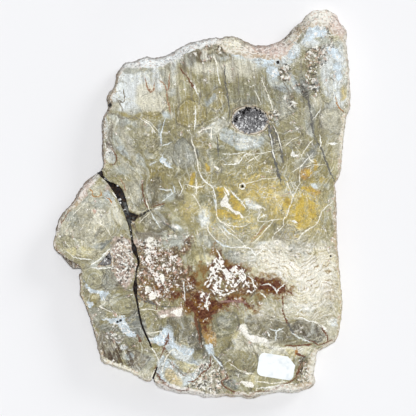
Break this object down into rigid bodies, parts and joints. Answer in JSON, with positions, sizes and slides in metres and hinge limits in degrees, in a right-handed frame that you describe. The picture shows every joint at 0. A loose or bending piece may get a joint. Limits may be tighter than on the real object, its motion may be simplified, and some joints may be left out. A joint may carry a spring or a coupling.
{
  "type": "petrified wood slice",
  "caption": "Irregular sawn slab of petrified wood, polished on one face, with quartz-lined hollows, a natural fracture, a rough rim and a blank paper label.",
  "frame": {"origin": "middle of the outline's box, on the sawn back that the slab rests on", "axes": "+Z out of the polished face, +Y up the slab's length towards the horn, +X across it to the right as seen from above"},
  "size_m": [0.199, 0.2606, 0.0162],
  "materials": {
    "petrified_wood": "polished face, rough rim, sawn back",
    "quartz": "sparkling crystal points",
    "label_paper": "matt paper"
  },
  "bodies": {
    "root": {"slab": "petrified_wood", "round_hollow_quartz": "quartz", "side_hollow_quartz": "quartz", "paper_label": "label_paper"}
  },
  "joints": []
}
